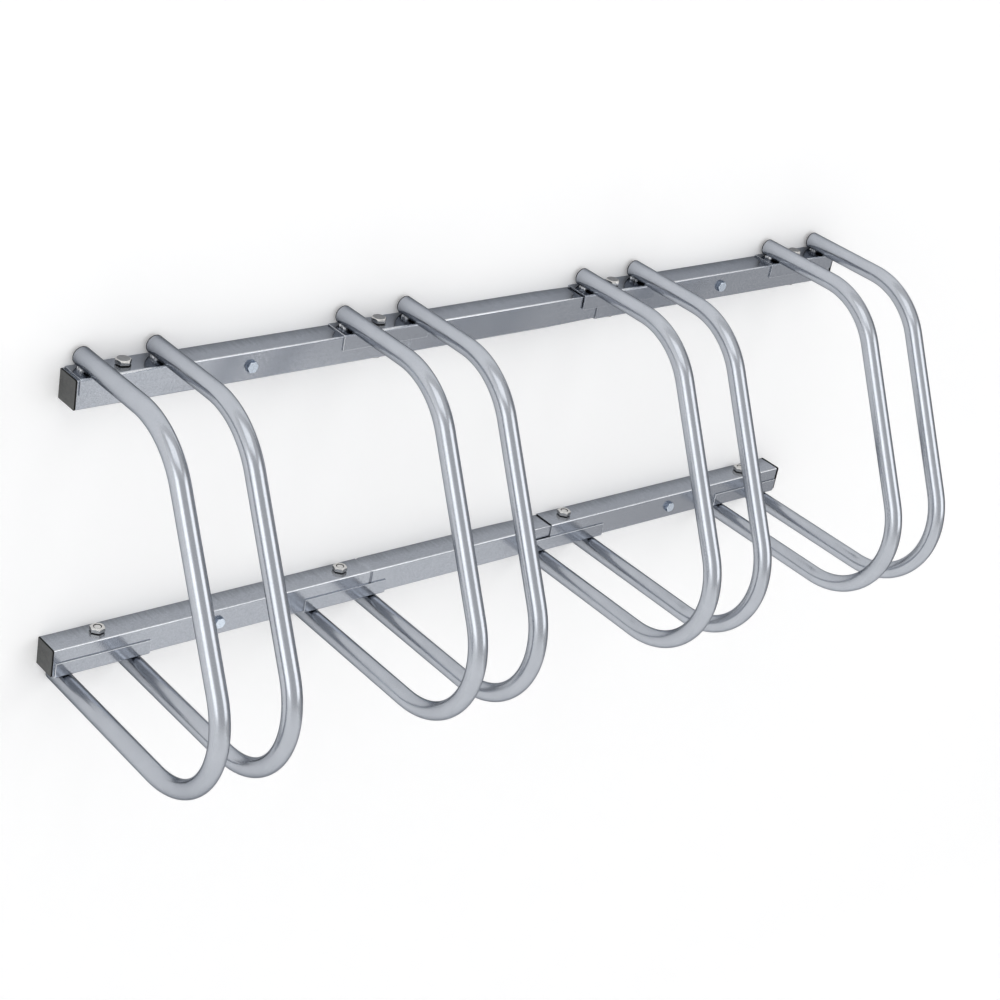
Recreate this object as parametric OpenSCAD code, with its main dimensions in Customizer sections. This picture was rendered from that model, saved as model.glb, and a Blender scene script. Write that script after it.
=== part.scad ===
// Wall rack that holds four bicycles by the front wheel, between pairs of bent tube hoops.
// X runs along the rails, the wall is the plane y = 0, the hoops reach out to -Y, and Z is up.
// The origin is the middle of the wall screw pattern, on the wall.

/* [Places along the rails] */
// Distance between the two middle wheel places
inner_pitch = 296; // [260:1:340]
// Distance from a middle wheel place to the outer one beside it
outer_pitch = 271; // [240:1:320]
// Distance from an outer bracket's end to the end of the rack
bracket_end_gap = 3.5; // [2:0.5:30]
// Distance between the centre lines of the two hoops of a wheel place
hoop_spacing = 71; // [60:1:76]
// Distance from an outer wheel place back to its wall screws
screw_offset = 123; // [90:1:160]

/* [Rails] */
// Outer side of the square rail tube
rail_side = 28; // [24:0.5:34]
// Wall thickness of the rail tube
rail_wall = 1.2; // [1:0.1:1.6]
// Outer corner radius of the rail tube
rail_corner = 1.5; // [1.2:0.1:3.5]
// Height between the centre lines of the two rails
rail_pitch = 267; // [240:1:300]
// Distance from a seam to the bolt that locks it
seam_offset = 28; // [20:1:45]
// Length of the reduced end that slides into the outer section
spigot_length = 60; // [54:1:80]
// Gap around the reduced end
spigot_clearance = 0.15; // [0.1:0.05:0.3]
// Length of the steep shoulder at the middle section's left end
short_shoulder = 3.5; // [2:0.5:10]
// Length of the slow taper at the middle section's right end
long_taper = 65; // [20:1:90]

/* [End caps] */
// Thickness of the cap's outer plate
cap_plate = 1.5; // [1.2:0.1:3]
// Bevel round the cap's outer plate
cap_bevel = 0.3; // [0.2:0.1:1]
// Depth of the cap's hollow stem in the rail
cap_depth = 14; // [12:1:20]
// Wall thickness of the cap's stem
cap_wall = 1.4; // [1:0.1:2]
// Height of the fins that grip the rail
cap_fin_height = 1; // [0.6:0.1:1.5]
// Thickness of one fin
cap_fin_thickness = 1; // [0.6:0.1:1.4]
// Distance from one fin to the next
cap_fin_pitch = 3.6; // [3:0.1:4]
// Gap between the fins and the rail
cap_clearance = 0.1; // [0.05:0.05:0.2]

/* [Brackets] */
// Length of a bracket along the rail
bracket_length = 98; // [92:1:108]
// Thickness of the bracket's sheet
bracket_sheet = 1.5; // [1.2:0.1:2.5]
// Inner radius of the bracket's bend
bracket_bend = 0.6; // [0.4:0.1:1.2]
// Height of the leg in front of the rail, with the sheet
bracket_lip = 15.5; // [12:0.5:20]
// Distance from the wall to the bracket's back edge
bracket_setback = 2; // [1:0.5:4]

/* [Hoops] */
// Outer diameter of the hoop tube
tube_diameter = 18; // [16:0.5:20]
// Wall thickness of the hoop tube
tube_wall = 1.5; // [1:0.1:2.5]
// Distance from the wall to the upper corner, where the straight centre lines would meet
upper_reach = 147; // [130:1:165]
// Distance from the wall to the lower corner, where the straight centre lines would meet
lower_reach = 323; // [290:1:350]
// Centre line radius of the upper bend
upper_bend_radius = 80; // [60:1:95]
// Centre line radius of the lower bend
lower_bend_radius = 85; // [60:1:95]
// Distance from the wall to the tube's cut ends
tube_setback = 6.5; // [4:0.5:9]

/* [Tube plugs] */
// Thickness of the plug's visible rim
plug_rim = 1; // [0.8:0.1:2]
// Depth of the plug in the tube
plug_depth = 9; // [6:0.5:15]
// Wall thickness of the plug's stem
plug_wall = 1.2; // [1:0.1:2]
// Gap between the plug's stem and the tube
plug_clearance = 0.1; // [0.05:0.05:0.2]

/* [Weld beads] */
// Radius of one lump of the bead
weld_radius = 2.6; // [2:0.1:3]
// Distance from the tube's cut end to the bead
weld_inset = 3.5; // [2:0.5:4.5]
// Distance from the bead to the bracket's front edge
weld_front_gap = 8; // [1:0.5:10]
// Lumps in one bead
weld_lumps = 4; // [3:1:6]

/* [Bolts and nuts] */
// Diameter of the bolt's shank
bolt_diameter = 8; // [6:0.5:10]
// Width across the flats of bolt heads and nuts
bolt_flats = 13; // [12:0.5:16]
// Height of the bolt's head
bolt_head_height = 5.3; // [4:0.1:6.5]
// Height of the nut
nut_height = 5; // [4:0.1:8]
// Depth of the bolt's end below the nut's outer face
bolt_recess = 0.5; // [0.3:0.1:1.5]
// Height of the round washer face under bolt heads and nuts
washer_face = 0.9; // [0.3:0.1:1.2]
// How much wider than the bolt its holes are
bolt_hole_clearance = 1; // [0.4:0.1:1.5]
// Turn of the hexagons about the bolt's axis, in degrees
bolt_turn = 45; // [0:5:55]

/* [Wall screws] */
// Diameter of the wall screw's thread, in the wall
screw_diameter = 6; // [5:0.5:8]
// Width across the flats of the wall screw's head
screw_flats = 10; // [8:0.5:13]
// Height of the wall screw's head
screw_head_height = 2.9; // [2.5:0.1:5.5]
// Depth of the wall screw in the wall
screw_grip = 31; // [25:1:60]
// Length of the wall screw's point
screw_point = 6; // [4:0.5:8]
// How much wider than the screw's thread its holes are
screw_hole_clearance = 0.6; // [0.4:0.1:1]
// Outer diameter of the washer
washer_diameter = 12; // [11:0.1:16]
// Thickness of the washer
washer_thickness = 0.8; // [0.6:0.1:2]

/* [Hidden] */
steel = [0.68, 0.70, 0.72];
nickel = [0.74, 0.73, 0.70];
zinc = [0.66, 0.70, 0.76];
dark_plastic = [0.30, 0.31, 0.30];

// Circles and curves
$fn = 48;
corner_facets = 24;
ball_facets = 24;
// How far a cut runs past the face it opens
overrun = 1;
// Thickness of the end slices between which a taper is drawn
slice = 0.01;

// Places
inner_x = inner_pitch / 2;
outer_x = inner_x + outer_pitch;
pair_x = [-outer_x, -inner_x, inner_x, outer_x];
rack_half = outer_x + bracket_length / 2 + bracket_end_gap;
rail_end = rack_half - cap_plate;
seam_x = inner_x - seam_offset;
screw_x = outer_x - screw_offset;
rail_z = rail_pitch / 2;
rail_top = rail_z + rail_side / 2;
rail_bottom = rail_z - rail_side / 2;
rail_y = -rail_side / 2;
bracket_top = rail_top + bracket_sheet;
// Inner corner radius of the rail tube, never quite sharp
least_corner = 0.3;
rail_inner_corner = max(rail_corner - rail_wall, least_corner);

// Reduced ends of the middle section
spigot_side = rail_side - 2 * (rail_wall + spigot_clearance);
spigot_corner_share = 0.85;
spigot_bore_corner_share = 0.3;
spigot_corner = rail_inner_corner * spigot_corner_share;
spigot_bore_corner = rail_inner_corner * spigot_bore_corner_share;
spigot_end = seam_x + spigot_length;

// Hoop centre line, in the plane of one hoop
tube_radius = tube_diameter / 2;
leg_z = bracket_top + tube_radius;
slant = atan2(2 * leg_z, lower_reach - upper_reach);
lower_turn = 180 - slant;
upper_tangent = upper_bend_radius * tan(slant / 2);
lower_tangent = lower_bend_radius * tan(lower_turn / 2);
upper_leg = upper_reach - upper_tangent - tube_setback;
lower_leg = lower_reach - lower_tangent - tube_setback;
front_leg = norm([2 * leg_z, lower_reach - upper_reach]) - upper_tangent - lower_tangent;
// Bending narrows the tube by this, over the lap at each end of a bend
bend_neck = 0.02;
bend_lap = 0.6;

// Weld beads: the lumps sit on the tube's surface, a little above the plate
weld_rise_share = 0.6;
weld_size_shares = [1, 0.86, 1.06, 0.9];
weld_rise = weld_radius * weld_rise_share;
weld_x = sqrt(2 * tube_radius * weld_rise - weld_rise * weld_rise);
weld_setback = tube_setback + weld_inset;
weld_length = rail_side + bracket_sheet - weld_front_gap - weld_setback;
weld_step = (weld_length - 2 * weld_radius) / (weld_lumps - 1);

// Fasteners
bolt_length = bracket_sheet + rail_side + nut_height - bolt_recess;
// Length of the chamfer at the bolt's end
bolt_point = 1;
bolt_point_share = 0.8;
head_top_share = 0.9;
screw_top_share = 0.96;
washer_face_share = 0.82;
screw_seat = rail_side + washer_thickness;
screw_point_share = 0.12;
// The plain shank in the rail is thinner than the thread
screw_shank_share = 0.87;

// Square with round corners, centred
module round_square(side, radius) {
    flat = side - 2 * radius;
    square([side, flat], center = true);
    square([flat, side], center = true);
    for (sx = [-1, 1], sy = [-1, 1])
        translate([sx * flat / 2, sy * flat / 2])
            circle(r = radius, $fn = corner_facets);
}

// Bar of round square section along X, on the upper rail's axis
module rail_bar(from_x, to_x, side, radius) {
    translate([from_x, rail_y, rail_z])
        rotate([90, 0, 90])
            linear_extrude(height = to_x - from_x)
                round_square(side, radius);
}

// Taper between two round square sections, on the upper rail's axis
module rail_taper(from_x, from_side, from_radius, to_x, to_side, to_radius) {
    hull() {
        rail_bar(from_x, from_x + slice, from_side, from_radius);
        rail_bar(to_x - slice, to_x, to_side, to_radius);
    }
}

// Pieces are drawn at the upper rail, and mirrored down for the lower one
module at_level(level) {
    mirror([0, 0, level < 0 ? 1 : 0])
        children();
}

// Hole down through the bracket and the rail for a bolt
module bolt_hole(x) {
    translate([x, rail_y, rail_bottom - overrun])
        cylinder(d = bolt_diameter + bolt_hole_clearance,
                 h = rail_side + bracket_sheet + 2 * overrun);
}

// Hole through the rail towards the wall for a screw
module screw_hole(x) {
    translate([x, overrun, rail_z])
        rotate([90, 0, 0])
            cylinder(d = screw_diameter + screw_hole_clearance, h = rail_side + 2 * overrun);
}

// Outer section of a rail, from the seam to the end cap
module rail_outer(side, level) {
    first = side < 0 ? -rail_end : seam_x;
    last = side < 0 ? -seam_x : rail_end;
    color(steel)
        at_level(level)
            difference() {
                rail_bar(first, last, rail_side, rail_corner);
                rail_bar(first - overrun, last + overrun,
                         rail_side - 2 * rail_wall, rail_inner_corner);
                bolt_hole(side * inner_x);
                bolt_hole(side * outer_x);
                screw_hole(side * screw_x);
            }
}

// Middle section's form: a plain bar whose two ends taper to the spigots
module rail_middle_form(inset, reduced_corner, extra) {
    side = rail_side - 2 * inset;
    corner = max(rail_corner - inset, least_corner);
    reduced = spigot_side - 2 * inset;
    taper_left = -seam_x + short_shoulder;
    taper_right = seam_x - long_taper;
    rail_bar(taper_left, taper_right, side, corner);
    rail_taper(-seam_x, reduced, reduced_corner, taper_left, side, corner);
    rail_taper(taper_right, side, corner, seam_x, reduced, reduced_corner);
    rail_bar(-spigot_end - extra, -seam_x, reduced, reduced_corner);
    rail_bar(seam_x, spigot_end + extra, reduced, reduced_corner);
}

// Middle section of a rail, with a reduced end in each outer section
module rail_middle(level) {
    color(steel)
        at_level(level)
            difference() {
                rail_middle_form(0, spigot_corner, 0);
                rail_middle_form(rail_wall, spigot_bore_corner, overrun);
                bolt_hole(-inner_x);
                bolt_hole(inner_x);
            }
}

// End cap: a bevelled plate outside the rail and a hollow finned stem inside
module end_cap(side, level) {
    grip = rail_side - 2 * (rail_wall + cap_clearance);
    grip_corner = rail_inner_corner;
    stem = grip - 2 * cap_fin_height;
    fin_count = floor((cap_depth - cap_fin_thickness) / cap_fin_pitch);
    color(dark_plastic)
        mirror([side < 0 ? 1 : 0, 0, 0])
            at_level(level) {
                rail_bar(rail_end, rack_half - cap_bevel, rail_side, rail_corner);
                rail_taper(rack_half - cap_bevel, rail_side, rail_corner,
                           rack_half, rail_side - 2 * cap_bevel, rail_corner);
                difference() {
                    union() {
                        rail_bar(rail_end - cap_depth, rail_end, stem, grip_corner);
                        for (i = [1 : fin_count])
                            rail_bar(rail_end - i * cap_fin_pitch - cap_fin_thickness,
                                     rail_end - i * cap_fin_pitch, grip, grip_corner);
                    }
                    rail_bar(rail_end - cap_depth - overrun, rail_end,
                             stem - 2 * cap_wall, grip_corner);
                }
            }
}

// Bent sheet section of a bracket, in the plane across the rail
module bracket_section() {
    outer_bend = bracket_bend + bracket_sheet;
    bend_y = -rail_side + bracket_bend;
    bend_z = rail_top - bracket_bend;
    translate([bend_y, rail_top])
        square([-bracket_setback - bend_y, bracket_sheet]);
    translate([-rail_side - bracket_sheet, bracket_top - bracket_lip])
        square([bracket_sheet, bend_z - bracket_top + bracket_lip]);
    intersection() {
        translate([bend_y, bend_z])
            difference() {
                circle(r = outer_bend);
                circle(r = bracket_bend);
            }
        translate([bend_y - outer_bend, bend_z])
            square([outer_bend, outer_bend]);
    }
}

// Bracket that joins a pair of hoops to a rail with one bolt
module bracket(place, level) {
    color(steel)
        at_level(level)
            difference() {
                translate([pair_x[place - 1] - bracket_length / 2, 0, 0])
                    rotate([90, 0, 90])
                        linear_extrude(height = bracket_length)
                            bracket_section();
                bolt_hole(pair_x[place - 1]);
            }
}

// Straight length of round bar along Y; what follows starts at its end
module straight_run(length, radius) {
    rotate([-90, 0, 0])
        cylinder(r = radius, h = length);
    translate([0, length, 0])
        children();
}

// Bend to the left, a hair narrower than the straights; what follows starts at its end
module bent_run(bend_radius, turn, radius) {
    translate([-bend_radius, 0, 0]) {
        rotate_extrude(angle = turn)
            translate([bend_radius, 0])
                circle(r = radius - bend_neck);
        translate([bend_radius, 0, 0])
            rotate([-90, 0, 0])
                cylinder(r1 = radius, r2 = radius - 2 * bend_neck, h = bend_lap);
        rotate([0, 0, turn])
            translate([bend_radius, 0, 0]) {
                rotate([90, 0, 0])
                    cylinder(r1 = radius, r2 = radius - 2 * bend_neck, h = bend_lap);
                children();
            }
    }
}

// Round bar along a hoop: upper leg, bend, slanted front, bend and lower leg
module hoop_bar(radius, extra) {
    rotate([90, 0, 90])
        translate([extra - tube_setback, leg_z, 0])
            rotate([0, 0, 90])
                straight_run(upper_leg + extra, radius)
                    bent_run(upper_bend_radius, slant, radius)
                        straight_run(front_leg, radius)
                            bent_run(lower_bend_radius, lower_turn, radius)
                                straight_run(lower_leg + extra, radius);
}

// Hoop of bent tube; side is -1 for the left and 1 for the right hoop of a place
module hoop(place, side) {
    color(steel)
        translate([pair_x[place - 1] + side * hoop_spacing / 2, 0, 0])
            difference() {
                hoop_bar(tube_radius, 0);
                hoop_bar(tube_radius - tube_wall, overrun);
            }
}

// Repeats a piece at each hoop's upper or lower end
module at_each_hoop(level) {
    for (x = pair_x, side = [-1, 1])
        translate([x + side * hoop_spacing / 2, 0, 0])
            at_level(level)
                children();
}

// Plugs in the open ends of the hoops
module hoop_plugs(level) {
    stem_radius = tube_radius - tube_wall - plug_clearance;
    color(dark_plastic)
        at_each_hoop(level)
            translate([0, -tube_setback, leg_z])
                rotate([90, 0, 0])
                    difference() {
                        union() {
                            cylinder(r = stem_radius, h = plug_depth);
                            translate([0, 0, -plug_rim])
                                cylinder(r = tube_radius, h = plug_rim);
                        }
                        translate([0, 0, plug_rim])
                            cylinder(r = stem_radius - plug_wall, h = plug_depth);
                    }
}

// Lumpy fillet on one side of a tube, between the tube and the bracket
module weld_bead(side) {
    difference() {
        for (i = [0 : weld_lumps - 1])
            translate([side * weld_x, -weld_setback - weld_radius - i * weld_step, weld_rise])
                sphere(r = weld_radius * weld_size_shares[i % len(weld_size_shares)],
                       $fn = ball_facets);
        translate([0, overrun - weld_setback, tube_radius])
            rotate([90, 0, 0])
                cylinder(r = tube_radius, h = weld_length + 2 * overrun);
        translate([side * weld_x - 2 * weld_radius, -weld_setback - weld_length - overrun,
                   -2 * weld_radius])
            cube([4 * weld_radius, weld_length + 2 * overrun, 2 * weld_radius]);
    }
}

// Weld beads on both sides of each tube
module weld_beads(level) {
    color(steel)
        at_each_hoop(level)
            translate([0, 0, bracket_top])
                for (side = [-1, 1])
                    weld_bead(side);
}

// Hexagon prism with its top corners turned down to a cone
module hexagon(flats, height, top_share = head_top_share) {
    top_radius = flats / 2 * top_share;
    intersection() {
        cylinder(d = flats / cos(30), h = height, $fn = 6);
        cylinder(r1 = top_radius + height / tan(30), r2 = top_radius, h = height);
    }
}

// Bolts through bracket and rail, heads on the brackets
module bolts(level) {
    color(nickel)
        for (x = pair_x)
            at_level(level)
                translate([x, rail_y, bracket_top]) {
                    cylinder(d = bolt_flats * washer_face_share, h = washer_face);
                    translate([0, 0, washer_face])
                        rotate([0, 0, bolt_turn])
                            hexagon(bolt_flats, bolt_head_height - washer_face);
                    translate([0, 0, bolt_point - bolt_length])
                        cylinder(d = bolt_diameter, h = bolt_length - bolt_point);
                    translate([0, 0, -bolt_length])
                        cylinder(d1 = bolt_diameter * bolt_point_share, d2 = bolt_diameter,
                                 h = bolt_point);
                }
}

// Nuts against the far side of the rail
module nuts(level) {
    color(nickel)
        for (x = pair_x)
            at_level(level)
                translate([x, rail_y, rail_bottom])
                    rotate([180, 0, -bolt_turn])
                        difference() {
                            union() {
                                cylinder(d = bolt_flats * washer_face_share, h = washer_face);
                                translate([0, 0, washer_face])
                                    hexagon(bolt_flats, nut_height - washer_face);
                            }
                            translate([0, 0, -overrun])
                                cylinder(d = bolt_diameter, h = nut_height + 2 * overrun);
                        }
}

// Repeats a piece at each wall screw, with its own Z pointing out of the wall
module at_each_screw() {
    for (x = [-screw_x, screw_x], z = [-rail_z, rail_z])
        translate([x, 0, z])
            rotate([90, 0, 0])
                children();
}

// Hexagon head screws through the rails into the wall
module wall_screws() {
    color(zinc)
        at_each_screw() {
            translate([0, 0, screw_seat])
                hexagon(screw_flats, screw_head_height, screw_top_share);
            cylinder(d = screw_diameter * screw_shank_share, h = screw_seat);
            translate([0, 0, screw_point - screw_grip])
                cylinder(d = screw_diameter, h = screw_grip - screw_point);
            translate([0, 0, -screw_grip])
                cylinder(d1 = screw_diameter * screw_point_share, d2 = screw_diameter,
                         h = screw_point);
        }
}

// Washers between the screw heads and the rails
module wall_screw_washers() {
    color(zinc)
        at_each_screw()
            translate([0, 0, rail_side])
                difference() {
                    cylinder(d = washer_diameter, h = washer_thickness);
                    translate([0, 0, -overrun])
                        cylinder(d = screw_diameter + screw_hole_clearance,
                                 h = washer_thickness + 2 * overrun);
                }
}

rail_outer(-1, 1);  // upper_rail_left
rail_middle(1);  // upper_rail_middle
rail_outer(1, 1);  // upper_rail_right
rail_outer(-1, -1);  // lower_rail_left
rail_middle(-1);  // lower_rail_middle
rail_outer(1, -1);  // lower_rail_right
end_cap(-1, 1);  // upper_cap_left
end_cap(1, 1);  // upper_cap_right
end_cap(-1, -1);  // lower_cap_left
end_cap(1, -1);  // lower_cap_right
bracket(1, 1);  // upper_bracket_1
bracket(2, 1);  // upper_bracket_2
bracket(3, 1);  // upper_bracket_3
bracket(4, 1);  // upper_bracket_4
bracket(1, -1);  // lower_bracket_1
bracket(2, -1);  // lower_bracket_2
bracket(3, -1);  // lower_bracket_3
bracket(4, -1);  // lower_bracket_4
hoop(1, -1);  // hoop_1_left
hoop(1, 1);  // hoop_1_right
hoop(2, -1);  // hoop_2_left
hoop(2, 1);  // hoop_2_right
hoop(3, -1);  // hoop_3_left
hoop(3, 1);  // hoop_3_right
hoop(4, -1);  // hoop_4_left
hoop(4, 1);  // hoop_4_right
hoop_plugs(1);  // upper_hoop_plugs
hoop_plugs(-1);  // lower_hoop_plugs
weld_beads(1);  // upper_weld_beads
weld_beads(-1);  // lower_weld_beads
bolts(1);  // upper_bolts
nuts(1);  // upper_nuts
bolts(-1);  // lower_bolts
nuts(-1);  // lower_nuts
wall_screws();
wall_screw_washers();
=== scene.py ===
import math

import bmesh
import bpy
from mathutils import Matrix, Vector


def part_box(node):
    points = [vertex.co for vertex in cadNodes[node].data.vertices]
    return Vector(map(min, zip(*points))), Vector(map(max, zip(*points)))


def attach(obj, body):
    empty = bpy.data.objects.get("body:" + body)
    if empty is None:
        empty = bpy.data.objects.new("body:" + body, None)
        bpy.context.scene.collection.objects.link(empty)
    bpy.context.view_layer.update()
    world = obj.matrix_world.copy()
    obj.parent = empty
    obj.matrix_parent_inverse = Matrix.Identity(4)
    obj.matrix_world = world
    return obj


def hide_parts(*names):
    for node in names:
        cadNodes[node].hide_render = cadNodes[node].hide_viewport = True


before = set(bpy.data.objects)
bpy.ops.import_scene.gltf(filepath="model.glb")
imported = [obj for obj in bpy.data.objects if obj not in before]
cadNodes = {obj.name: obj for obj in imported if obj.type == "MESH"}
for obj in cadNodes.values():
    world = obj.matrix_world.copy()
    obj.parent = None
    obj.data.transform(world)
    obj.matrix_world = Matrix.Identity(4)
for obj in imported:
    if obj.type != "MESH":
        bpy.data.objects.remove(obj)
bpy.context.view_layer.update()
levels = {"upper": 1, "lower": -1}
places = (1, 2, 3, 4)
sides = ("left", "right")
print("frame loaded:", len(cadNodes), "nodes")


# camera: stands left of the rack, in front of it and above, rolled a little
cameraView = {
    "location": (-1.32110, -1.41306, 0.93966),
    "right": (0.762550, -0.624570, 0.168612),
    "up": (0.181975, 0.457195, 0.870550),
    "back": (-0.620808, -0.633154, 0.462291),
    "lens": 77.02,
    "sensor": 36.0,
    "nearest": 0.05,
    "farthest": 60.0,
}


def makeCamera(view):
    data = bpy.data.cameras.new("photoCamera")
    data.lens = view["lens"]
    data.sensor_width = view["sensor"]
    data.clip_start = view["nearest"]
    data.clip_end = view["farthest"]
    camera = bpy.data.objects.new("photoCamera", data)
    turn = Matrix((view["right"], view["up"], view["back"])).transposed()
    camera.matrix_world = Matrix.Translation(view["location"]) @ turn.to_4x4()
    bpy.context.scene.collection.objects.link(camera)
    bpy.context.scene.camera = camera


makeCamera(cameraView)
print("camera placed")


# small helpers for node trees

def makeTree(name, kind, inputs, outputs):
    tree = bpy.data.node_groups.new(name, kind)
    for label, socketType, value in inputs:
        socket = tree.interface.new_socket(name=label, in_out="INPUT", socket_type=socketType)
        if value is not None:
            socket.default_value = value
    for label, socketType in outputs:
        tree.interface.new_socket(name=label, in_out="OUTPUT", socket_type=socketType)
    return tree


def addNode(tree, kind, settings=None, values=None):
    node = tree.nodes.new(kind)
    for key, value in (settings or {}).items():
        setattr(node, key, value)
    for key, value in (values or {}).items():
        node.inputs[key].default_value = value
    return node


def join(tree, *links):
    for source, leaves, target, enters in links:
        tree.links.new(source.outputs[leaves], target.inputs[enters])


def linkObject(name, mesh):
    thing = bpy.data.objects.new(name, mesh)
    bpy.context.scene.collection.objects.link(thing)
    return thing


def treeInputs(tree, thing, values):
    modifier = thing.modifiers.new(tree.name, "NODES")
    modifier.node_group = tree
    for item in tree.interface.items_tree:
        if item.item_type == "SOCKET" and item.in_out == "INPUT" and item.name in values:
            modifier[item.identifier] = values[item.name]
    return modifier


def finishes(mesh, materials):
    mesh.materials.clear()
    for material in materials:
        mesh.materials.append(material)


def settle(thing, materials):
    bpy.context.view_layer.update()
    graph = bpy.context.evaluated_depsgraph_get()
    done = bpy.data.meshes.new_from_object(thing.evaluated_get(graph), preserve_all_data_layers=True,
                                           depsgraph=graph)
    thing.modifiers.clear()
    thing.data = done
    if list(done.materials) != materials:
        finishes(done, materials)
    return thing


def declare(thing, replaced):
    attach(thing, "root")
    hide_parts(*replaced)


# shader groups

# broad patches and fine grain between two colours, with the roughness that goes with them
def makeMottleGroup():
    group = makeTree(
        "surfaceMottle", "ShaderNodeTree",
        [("Coordinates", "NodeSocketVector", None),
         ("Patch Scale", "NodeSocketFloat", 90.0),
         ("Grain Scale", "NodeSocketFloat", 900.0),
         ("Dark", "NodeSocketColor", (0.40, 0.41, 0.43, 1)),
         ("Light", "NodeSocketColor", (0.48, 0.49, 0.51, 1)),
         ("Grain Share", "NodeSocketFloat", 0.4),
         ("Smoothest", "NodeSocketFloat", 0.28),
         ("Roughest", "NodeSocketFloat", 0.42)],
        [("Colour", "NodeSocketColor"), ("Roughness", "NodeSocketFloat"), ("Grain", "NodeSocketFloat")])
    start = group.nodes.new("NodeGroupInput")
    end = group.nodes.new("NodeGroupOutput")
    patch = addNode(group, "ShaderNodeTexNoise", None, {"Detail": 3.0, "Roughness": 0.55})
    grain = addNode(group, "ShaderNodeTexNoise", None, {"Detail": 2.0, "Roughness": 0.6})
    both = addNode(group, "ShaderNodeMix", {"data_type": "FLOAT"})
    spread = addNode(group, "ShaderNodeMapRange", {"interpolation_type": "SMOOTHSTEP"},
                     {"From Min": 0.32, "From Max": 0.68})
    colour = addNode(group, "ShaderNodeMix", {"data_type": "RGBA"})
    rough = addNode(group, "ShaderNodeMapRange")
    join(group,
         (start, "Coordinates", patch, "Vector"),
         (start, "Patch Scale", patch, "Scale"),
         (start, "Coordinates", grain, "Vector"),
         (start, "Grain Scale", grain, "Scale"),
         (start, "Grain Share", both, "Factor"),
         (patch, "Fac", both, 2),
         (grain, "Fac", both, 3),
         (both, 0, spread, "Value"),
         (spread, "Result", colour, "Factor"),
         (start, "Dark", colour, 6),
         (start, "Light", colour, 7),
         (spread, "Result", rough, "Value"),
         (start, "Smoothest", rough, "To Max"),
         (start, "Roughest", rough, "To Min"),
         (colour, 2, end, "Colour"),
         (rough, "Result", end, "Roughness"),
         (grain, "Fac", end, "Grain"))
    return group


# fine lines drawn out along one direction, over a colour and a height
def makeStreakGroup():
    group = makeTree(
        "drawnStreaks", "ShaderNodeTree",
        [("Coordinates", "NodeSocketVector", None),
         ("Stretch", "NodeSocketVector", (12.0, 900.0, 900.0)),
         ("Colour", "NodeSocketColor", (0.45, 0.46, 0.48, 1)),
         ("Height", "NodeSocketFloat", 0.5),
         ("Depth", "NodeSocketFloat", 0.08)],
        [("Colour", "NodeSocketColor"), ("Height", "NodeSocketFloat")])
    start = group.nodes.new("NodeGroupInput")
    end = group.nodes.new("NodeGroupOutput")
    stretched = addNode(group, "ShaderNodeVectorMath", {"operation": "MULTIPLY"})
    lines = addNode(group, "ShaderNodeTexNoise", None, {"Scale": 1.0, "Detail": 4.0, "Roughness": 0.65})
    centred = addNode(group, "ShaderNodeMath", {"operation": "SUBTRACT"}, {1: 0.5})
    deep = addNode(group, "ShaderNodeMath", {"operation": "MULTIPLY_ADD"}, {2: 1.0})
    shaded = addNode(group, "ShaderNodeVectorMath", {"operation": "SCALE"})
    height = addNode(group, "ShaderNodeMath", {"operation": "ADD"})
    join(group,
         (start, "Coordinates", stretched, 0),
         (start, "Stretch", stretched, 1),
         (stretched, "Vector", lines, "Vector"),
         (lines, "Fac", centred, 0),
         (centred, "Value", deep, 0),
         (start, "Depth", deep, 1),
         (start, "Colour", shaded, 0),
         (deep, "Value", shaded, "Scale"),
         (start, "Height", height, 0),
         (lines, "Fac", height, 1),
         (shaded, "Vector", end, "Colour"),
         (height, "Value", end, "Height"))
    return group


# a shade that takes over beyond a plane, with an edge that may be ragged
def makeBandGroup():
    group = makeTree(
        "bandShade", "ShaderNodeTree",
        [("Coordinates", "NodeSocketVector", None),
         ("Along", "NodeSocketVector", (1.0, 0.0, 0.0)),
         ("Starts", "NodeSocketFloat", 0.469),
         ("Full", "NodeSocketFloat", 0.4692),
         ("Ragged", "NodeSocketFloat", 0.0),
         ("Strokes", "NodeSocketVector", (420.0, 40.0, 420.0)),
         ("Colour", "NodeSocketColor", (0.45, 0.46, 0.48, 1)),
         ("Shade", "NodeSocketColor", (0.02, 0.02, 0.02, 1))],
        [("Colour", "NodeSocketColor")])
    start = group.nodes.new("NodeGroupInput")
    end = group.nodes.new("NodeGroupOutput")
    reach = addNode(group, "ShaderNodeVectorMath", {"operation": "DOT_PRODUCT"})
    stretched = addNode(group, "ShaderNodeVectorMath", {"operation": "MULTIPLY"})
    strokes = addNode(group, "ShaderNodeTexNoise", None, {"Scale": 1.0, "Detail": 3.0})
    centred = addNode(group, "ShaderNodeMath", {"operation": "SUBTRACT"}, {1: 0.5})
    uneven = addNode(group, "ShaderNodeMath", {"operation": "MULTIPLY_ADD"})
    mask = addNode(group, "ShaderNodeMapRange")
    mixed = addNode(group, "ShaderNodeMix", {"data_type": "RGBA"})
    join(group,
         (start, "Coordinates", reach, 0),
         (start, "Along", reach, 1),
         (start, "Coordinates", stretched, 0),
         (start, "Strokes", stretched, 1),
         (stretched, "Vector", strokes, "Vector"),
         (strokes, "Fac", centred, 0),
         (centred, "Value", uneven, 0),
         (start, "Ragged", uneven, 1),
         (reach, "Value", uneven, 2),
         (uneven, "Value", mask, "Value"),
         (start, "Starts", mask, "From Min"),
         (start, "Full", mask, "From Max"),
         (mask, "Result", mixed, "Factor"),
         (start, "Colour", mixed, 6),
         (start, "Shade", mixed, 7),
         (mixed, 2, end, "Colour"))
    return group


mottleGroup = makeMottleGroup()
streakGroup = makeStreakGroup()
bandGroup = makeBandGroup()
print("shader groups built")


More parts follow.
